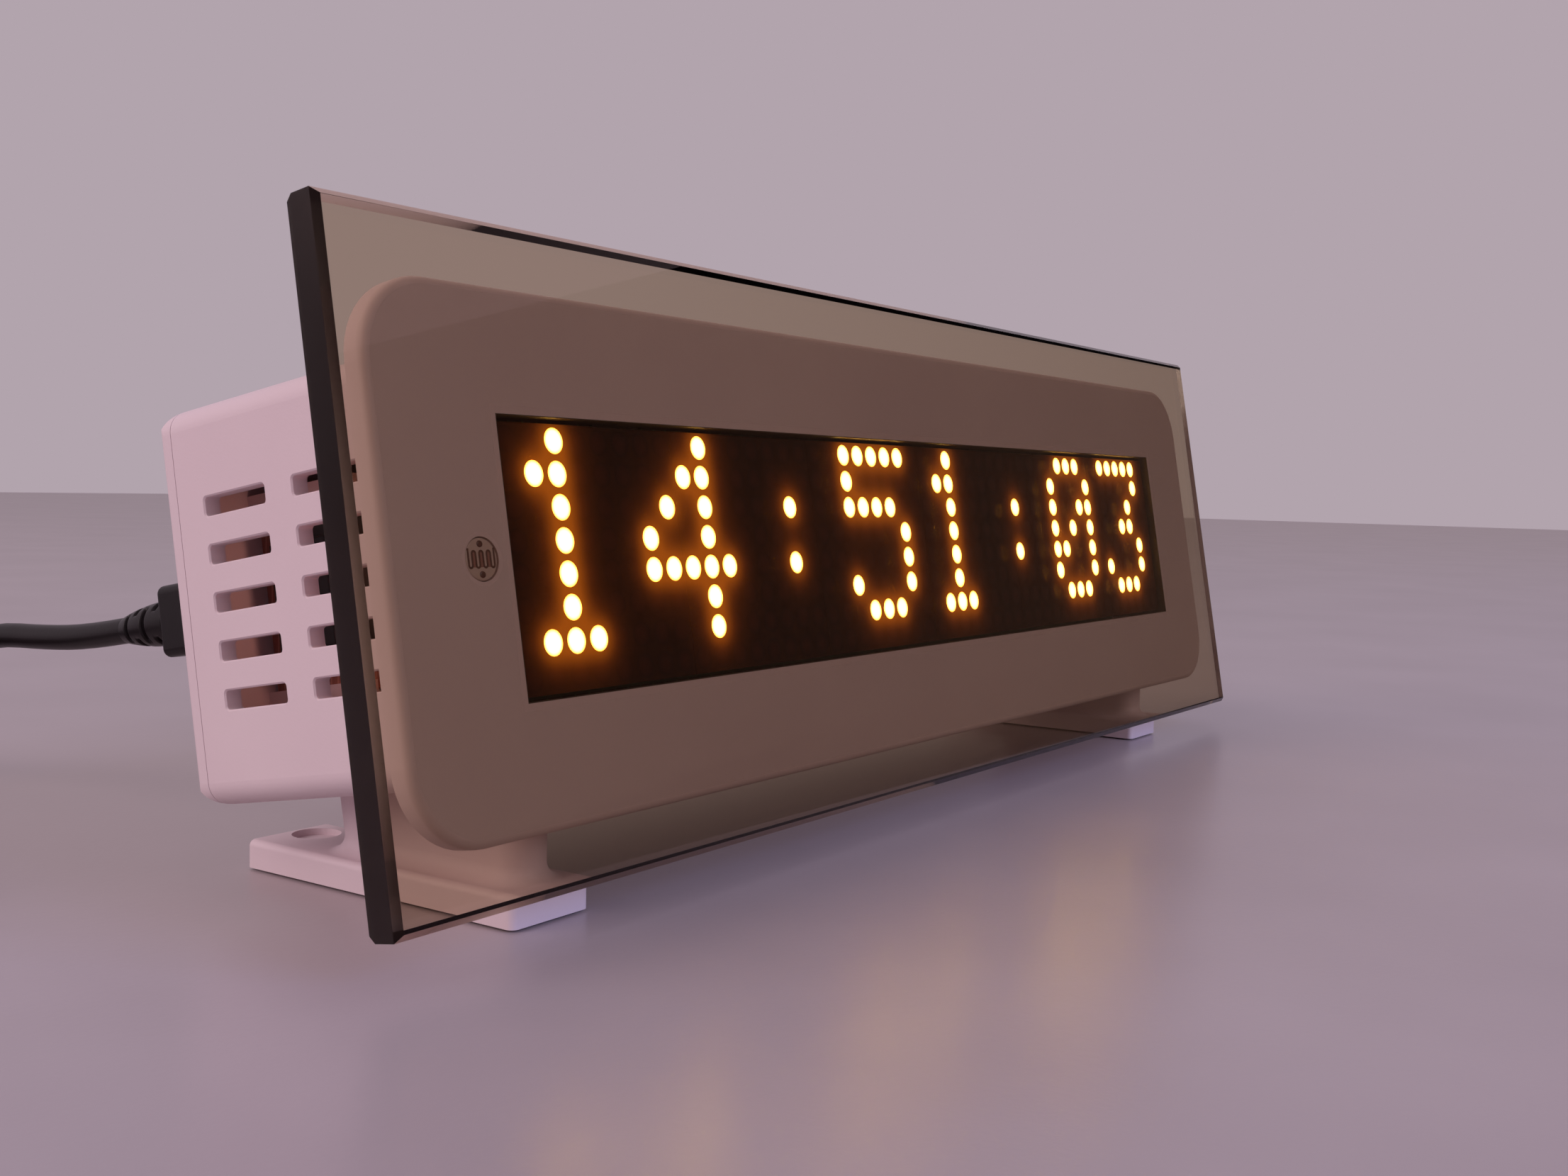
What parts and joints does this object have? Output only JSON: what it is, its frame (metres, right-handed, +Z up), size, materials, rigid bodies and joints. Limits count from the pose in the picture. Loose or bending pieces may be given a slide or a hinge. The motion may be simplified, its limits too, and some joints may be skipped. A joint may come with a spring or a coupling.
{
  "type": "desk clock",
  "caption": "Wide desk clock with an amber dot-matrix display behind a bronze-tinted plate, in a leaning white case on two feet, with a cabled plug at the rear.",
  "frame": {"origin": "on the surface the clock stands on, under the middle of the clock's box without its lead", "axes": "+Z up, +Y back through the case, +X to the right of someone who reads the display"},
  "size_m": [0.2791, 0.1989, 0.0806],
  "materials": {
    "bronze_acrylic": "bronze-tinted clear acrylic, polished, sawn and chamfered edges",
    "clear_adhesive": "clear adhesive sheet",
    "white_plastic": "white moulded plastic, fine matte texture",
    "module_plastic": "dark potted face of the display modules",
    "lit_lens": "glowing amber dot lens",
    "dark_lens": "unlit smoky dot lens",
    "black_plastic": "black moulded plastic",
    "circuit_board": "green solder mask over glass-fibre board",
    "blue_board": "blue solder mask over glass-fibre board",
    "sensor_face": "clear-coated photoresistor disc with a serpentine track",
    "steel": "bright nickel-plated steel",
    "copper_wire": "tinned copper wire",
    "wire_jacket": "red PVC wire jacket",
    "can_metal": "drawn aluminium can",
    "black_rubber": "soft black PVC, semi-gloss",
    "pad_rubber": "grey-black rubber",
    "tie_fabric": "black hook-and-loop strap",
    "white_insert": "white plug insert"
  },
  "bodies": {
    "case": {"front_plate": "bronze_acrylic", "plate_bond": "clear_adhesive", "front_housing": "white_plastic", "rear_cover": "white_plastic", "lit_dots": "lit_lens", "dark_dots": "dark_lens", "module_sockets": "black_plastic", "display_board": "circuit_board", "driver_chips": "black_plastic", "board_capacitors": "can_metal", "light_sensor": "sensor_face", "sensor_leads": "copper_wire", "controller_board": "circuit_board", "processor_module": "black_plastic", "processor_shield": "black_plastic", "power_socket": "steel", "cable_headers": "white_insert", "display_cable": "wire_jacket", "clock_board": "blue_board", "cell_holder": "black_plastic", "coin_cell": "steel", "clock_chip": "black_plastic", "button_board": "circuit_board", "button_switches": "black_plastic", "cover_screws": "steel", "display_screws": "steel", "board_screws": "steel", "foot_screws": "steel", "foot_left": "white_plastic", "foot_right": "white_plastic", "foot_pads": "pad_rubber", "power_plug": "black_rubber", "plug_shell": "steel", "strain_relief": "black_rubber", "power_cord": "black_rubber", "cord_coil": "black_rubber", "cord_tie": "tie_fabric", "cord_tail": "black_rubber", "usb_plug": "black_rubber", "usb_plug_shell": "steel", "usb_plug_tongue": "white_insert", "usb_strain_relief": "black_rubber", "led_module_1": "module_plastic", "led_module_2": "module_plastic", "led_module_3": "module_plastic", "led_module_4": "module_plastic", "led_module_5": "module_plastic", "led_module_6": "module_plastic"},
    "button_1": {"set_button_1": "white_plastic", "switch_plunger_1": "black_plastic"},
    "button_2": {"set_button_2": "white_plastic", "switch_plunger_2": "black_plastic"},
    "button_3": {"set_button_3": "white_plastic", "switch_plunger_3": "black_plastic"}
  },
  "joints": [
    {"name": "button_1_press", "type": "slide", "parent": "case", "child": "button_1", "axis": [0, -0.9848, 0.1736], "range_m": [0, 0.0005], "stiffness_N_per_m": 3000, "springref_m": -0.0002},
    {"name": "button_2_press", "type": "slide", "parent": "case", "child": "button_2", "axis": [0, -0.9848, 0.1736], "range_m": [0, 0.0005], "stiffness_N_per_m": 3000, "springref_m": -0.0002},
    {"name": "button_3_press", "type": "slide", "parent": "case", "child": "button_3", "axis": [0, -0.9848, 0.1736], "range_m": [0, 0.0005], "stiffness_N_per_m": 3000, "springref_m": -0.0002}
  ]
}
